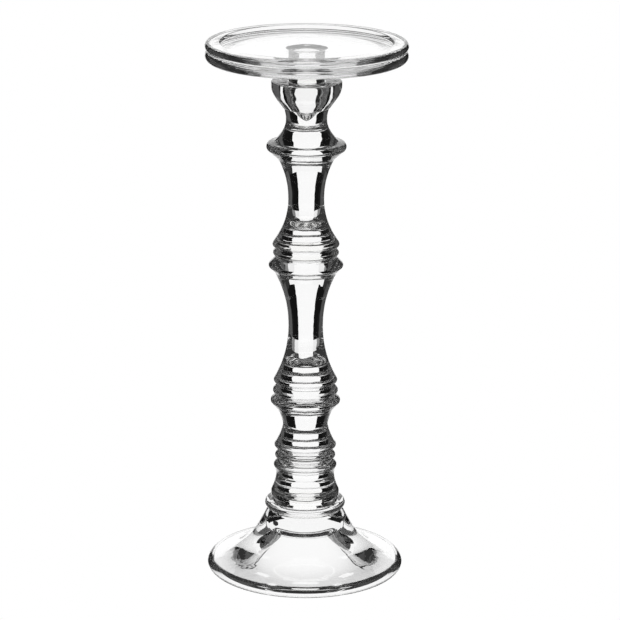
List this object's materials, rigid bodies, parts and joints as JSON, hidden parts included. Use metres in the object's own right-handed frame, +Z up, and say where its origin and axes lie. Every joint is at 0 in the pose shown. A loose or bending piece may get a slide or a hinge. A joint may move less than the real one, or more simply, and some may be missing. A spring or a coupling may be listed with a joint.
{
  "type": "candlestick",
  "caption": "Tall clear glass candlestick: a shallow rimmed pillar plate plugged into a flared cup, turned ringed stems and a hollow bell foot, bonded end to end.",
  "frame": {"origin": "centre of the foot's bottom rim, on the axis, level with the surface that it stands on", "axes": "+Z up along the axis of the turned glass; the object is the same from every azimuth"},
  "size_m": [0.122, 0.122, 0.3325],
  "materials": {
    "plate_glass": "clear pressed glass, fire-polished, glossy",
    "upper_stem_glass": "clear pressed glass, glossy",
    "lower_stem_glass": "clear pressed glass, glossy",
    "foot_glass": "clear pressed glass, glossy, smooth hollow underneath",
    "adhesive": "thin film of clear cured adhesive"
  },
  "bodies": {
    "root": {"pillar_plate": "plate_glass", "upper_stem": "upper_stem_glass", "lower_stem": "lower_stem_glass", "foot": "foot_glass", "plate_bond": "adhesive", "stem_bond": "adhesive", "foot_bond": "adhesive"}
  },
  "joints": []
}
